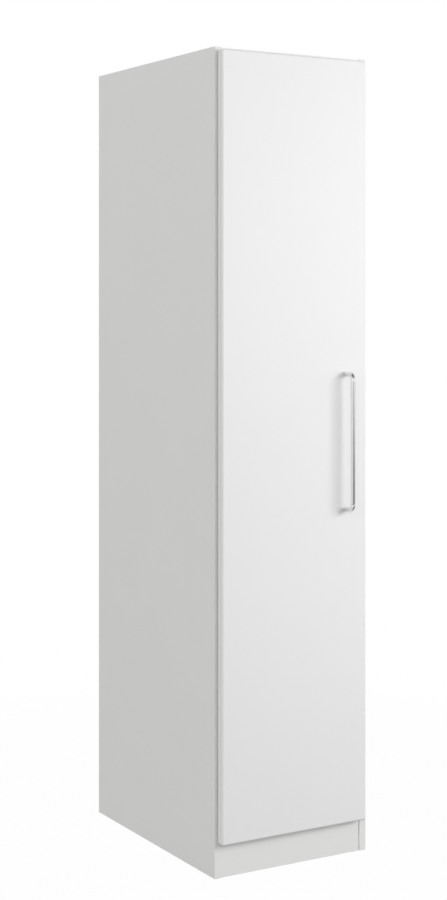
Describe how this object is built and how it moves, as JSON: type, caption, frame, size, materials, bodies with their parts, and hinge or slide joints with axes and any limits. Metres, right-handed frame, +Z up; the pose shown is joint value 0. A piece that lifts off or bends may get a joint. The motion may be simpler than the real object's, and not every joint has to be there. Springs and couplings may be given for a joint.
{
  "type": "wardrobe",
  "caption": "Tall narrow white wardrobe: flat-pack board carcass on a set-back plinth, hinged slab door with a bent-bar chrome handle, hat shelf and hanging rail.",
  "frame": {"origin": "on the floor, under the middle of the whole outline, door and handle included", "axes": "+Z up, -Y out through the door towards the user, +X to the right of someone facing the door"},
  "size_m": [0.42, 0.66, 1.9],
  "materials": {
    "white_board": "white melamine-faced particle board, satin",
    "white_door": "white foil-wrapped fibreboard, smooth satin",
    "white_hardboard": "thin hardboard, white lacquer inside, bare brown fibre behind",
    "chrome": "polished",
    "nickel_plate": "nickel-plated pressed steel",
    "zinc_plate": "zinc-plated steel",
    "beech_dowel": "bare beech",
    "clear_rubber": "soft, milky"
  },
  "bodies": {
    "carcass": {"arm_screw_lower": "zinc_plate", "arm_screw_middle": "zinc_plate", "arm_screw_upper": "zinc_plate", "back_panel": "white_hardboard", "base_panel": "white_board", "cam_bolt_base_left_front": "zinc_plate", "cam_bolt_base_left_rear": "zinc_plate", "cam_bolt_base_right_front": "zinc_plate", "cam_bolt_base_right_rear": "zinc_plate", "cam_bolt_top_left_front": "zinc_plate", "cam_bolt_top_left_rear": "zinc_plate", "cam_bolt_top_right_front": "zinc_plate", "cam_bolt_top_right_rear": "zinc_plate", "cam_lock_base_left_front": "zinc_plate", "cam_lock_base_left_rear": "zinc_plate", "cam_lock_base_right_front": "zinc_plate", "cam_lock_base_right_rear": "zinc_plate", "cam_lock_top_left_front": "zinc_plate", "cam_lock_top_left_rear": "zinc_plate", "cam_lock_top_right_front": "zinc_plate", "cam_lock_top_right_rear": "zinc_plate", "door_bumper_lower": "clear_rubber", "door_bumper_upper": "clear_rubber", "hanging_rail": "chrome", "hat_shelf": "white_board", "hinge_arm_lower": "nickel_plate", "hinge_arm_middle": "nickel_plate", "hinge_arm_upper": "nickel_plate", "hinge_plate_lower": "nickel_plate", "hinge_plate_middle": "nickel_plate", "hinge_plate_upper": "nickel_plate", "plate_screw_lower_over": "zinc_plate", "plate_screw_lower_under": "zinc_plate", "plate_screw_middle_over": "zinc_plate", "plate_screw_middle_under": "zinc_plate", "plate_screw_upper_over": "zinc_plate", "plate_screw_upper_under": "zinc_plate", "plinth": "white_board", "plinth_dowel_left": "beech_dowel", "plinth_dowel_right": "beech_dowel", "rail_socket_left": "chrome", "rail_socket_right": "chrome", "shelf_pin_left_front": "zinc_plate", "shelf_pin_left_rear": "zinc_plate", "shelf_pin_right_front": "zinc_plate", "shelf_pin_right_rear": "zinc_plate", "side_panel_left": "white_board", "side_panel_right": "white_board", "top_panel": "white_board", "wall_bracket": "zinc_plate"},
    "door": {"door_handle": "chrome", "door_panel": "white_door", "handle_screw_lower": "zinc_plate", "handle_screw_upper": "zinc_plate", "hinge_cup_lower": "nickel_plate", "hinge_cup_middle": "nickel_plate", "hinge_cup_upper": "nickel_plate", "hinge_pin_lower": "nickel_plate", "hinge_pin_middle": "nickel_plate", "hinge_pin_upper": "nickel_plate"}
  },
  "joints": [
    {"name": "door_swing", "type": "hinge", "parent": "carcass", "child": "door", "pos_m": [-0.1974, -0.276, 0.98625], "axis": [0, 0, -1], "range_deg": [0, 95]}
  ]
}
